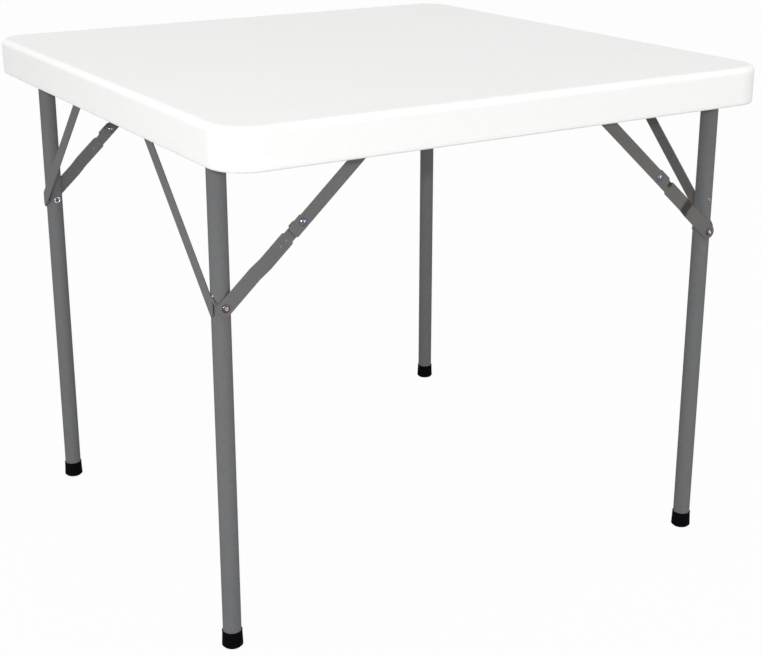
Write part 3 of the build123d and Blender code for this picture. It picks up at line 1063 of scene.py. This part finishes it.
def floor_material(studio):
    """Matt grey, which the camera sees mixed with pure white."""
    matt_colour = shade(studio.floor_colour, 1.0)
    finish = Finish("studio_floor", Base_Color=matt_colour, Roughness=1.0, Specular_IOR_Level=0.0)
    seen = finish.node("ShaderNodeLightPath", {}, {}, "Is Camera Ray")
    white = finish.node("ShaderNodeEmission", {}, {"Color": (1, 1, 1, 1), "Strength": 1.0})
    matt = Wire(finish, finish.shader.outputs[0])
    mixed = finish.node("ShaderNodeMixShader", {}, {0: seen * studio.floor_glow_share, 1: matt, 2: white})
    finish.connect(finish.tree.nodes["Material Output"].inputs["Surface"], mixed)
    return finish.material


def studio_world(studio):
    """An even dome of light, which the camera and reflections see as pure white."""
    world = bpy.data.worlds.new("studio_dome")
    bpy.context.scene.world = world
    world.use_nodes = True
    layout = Layout(world.node_tree)
    rays = [layout.node("ShaderNodeLightPath", {}, {}, kind) for kind in WHITE_RAYS]
    seen = rays[0].greatest(rays[1]).greatest(rays[2])
    dome = layout.tree.nodes["Background"]
    layout.connect(dome.inputs["Color"], (1.0, 1.0, 1.0, 1.0))
    layout.connect(dome.inputs["Strength"], studio.dome_strength + seen * (1 - studio.dome_strength))


class CARDTABLE_OT_studio(bpy.types.Operator):
    """Set up the camera, the lamps and the floor"""

    bl_idname = "card_table.studio"
    bl_label = "Studio"

    def execute(self, context):
        studio = context.scene.card_table_studio
        studio_floor(studio)
        studio_world(studio)
        self.add_lamps(studio)
        self.add_camera(context.scene, studio)
        return {"FINISHED"}

    def add_lamps(self, studio):
        """A small lamp above the camera, broad ones on the left and in front, and light from overhead."""
        aim = Vector(studio.lamp_aim)
        above_camera = Vector(studio.camera_place) + Vector((0.0, 0.0, studio.key_rise))
        key_place = aim + (above_camera - aim) * studio.key_reach_share
        for name, place, strength, size in (
            ("key_lamp", key_place, studio.key_strength, studio.key_size),
            ("fill_lamp", studio.fill_place, studio.fill_strength, studio.broad_size),
            ("front_lamp", studio.front_place, studio.front_strength, studio.broad_size),
        ):
            add_lamp(name, "AREA", place, aim, energy=strength, size=size, shape="DISK")
        add_lamp(
            "overhead_light", "SUN", studio.overhead_place, (0.0, 0.0, 0.0),
            energy=studio.overhead_strength, angle=studio.overhead_spread,
        )

    def add_camera(self, scene, studio):
        """A camera at the photograph's viewing angle."""
        yaw, pitch = studio.camera_yaw, studio.camera_pitch
        ahead = Vector((sin(yaw) * cos(pitch), cos(yaw) * cos(pitch), -sin(pitch)))
        right = Vector((cos(yaw), -sin(yaw), 0.0))
        above = right.cross(ahead)
        data = bpy.data.cameras.new("studio_camera")
        data.lens = studio.focal_length
        data.sensor_width = studio.sensor_width
        data.shift_y = studio.frame_shift_share
        data.clip_end = 2 * studio.floor_size
        camera = bpy.data.objects.new("studio_camera", data)
        turn = Matrix((right, above, -ahead)).transposed()
        camera.matrix_world = Matrix.Translation(Vector(studio.camera_place)) @ turn.to_4x4()
        scene.collection.objects.link(camera)
        scene.camera = camera
        scene.view_settings.view_transform = "Standard"


OPERATORS = (
    CARDTABLE_OT_top_finish,
    CARDTABLE_OT_steel_finish,
    CARDTABLE_OT_fastener_finish,
    CARDTABLE_OT_rubber_finish,
    CARDTABLE_OT_head_welds,
    CARDTABLE_OT_brace_welds,
    CARDTABLE_OT_mould_line,
    CARDTABLE_OT_cap_beads,
    CARDTABLE_OT_drain_eyelet,
    CARDTABLE_OT_rivet_rings,
    CARDTABLE_OT_weld_nuggets,
    CARDTABLE_OT_studio,
)


class CARDTABLE_PT_panel(bpy.types.Panel):
    """The table's steps, in order, with their sizes and colours"""

    bl_idname = "CARDTABLE_PT_panel"
    bl_label = "Card table"
    bl_space_type = "VIEW_3D"
    bl_region_type = "UI"
    bl_category = "Card table"

    def draw(self, context):
        scene = context.scene
        for operator in OPERATORS:
            self.layout.operator(operator.bl_idname)
        for group in (scene.card_table_finishes, scene.card_table_details, scene.card_table_studio):
            for name in group.__annotations__:
                self.layout.prop(group, name)


GROUPS = {
    "card_table_finishes": CardTableFinishes,
    "card_table_details": CardTableDetails,
    "card_table_studio": CardTableStudio,
}
CLASSES = (*GROUPS.values(), *OPERATORS, CARDTABLE_PT_panel)


def register():
    for kind in CLASSES:
        bpy.utils.register_class(kind)
    for name, group in GROUPS.items():
        setattr(bpy.types.Scene, name, PointerProperty(type=group))


def unregister():
    for name in GROUPS:
        delattr(bpy.types.Scene, name)
    for kind in reversed(CLASSES):
        bpy.utils.unregister_class(kind)


def run(operator):
    """Call one of the table's operators by its name."""
    group, name = operator.bl_idname.split(".")
    getattr(getattr(bpy.ops, group), name)()


def main():
    """Dress the whole table."""
    register()
    for operator in OPERATORS:
        run(operator)


if __name__ == "__main__":
    main()
